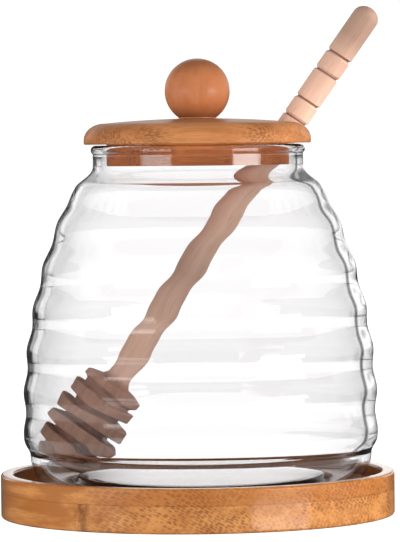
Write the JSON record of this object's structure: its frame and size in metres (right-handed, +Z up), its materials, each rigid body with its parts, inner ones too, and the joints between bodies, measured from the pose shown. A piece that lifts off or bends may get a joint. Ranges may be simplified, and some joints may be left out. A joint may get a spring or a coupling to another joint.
{
  "type": "honey jar with dipper",
  "caption": "Clear beehive-shaped glass honey jar on a round bamboo tray, with a ball-topped bamboo lid and a turned wooden dipper leaning out through the lid's notch",
  "frame": {"origin": "centre of the tray's underside, on the surface that the tray stands on", "axes": "+Z up, -Y towards the viewer of the picture, +X to the viewer's right, where the dipper's handle comes out of the lid"},
  "size_m": [0.12, 0.12, 0.1543],
  "materials": {
    "tray_bamboo": "satin lacquered bamboo",
    "clear_glass": "clear, smooth",
    "lid_bamboo": "satin lacquered bamboo",
    "knob_wood": "satin lacquered wood",
    "dipper_wood": "bare turned wood, matt"
  },
  "bodies": {
    "root": {"tray": "tray_bamboo", "jar": "clear_glass", "lid": "lid_bamboo", "knob": "knob_wood", "dipper": "dipper_wood"}
  },
  "joints": []
}
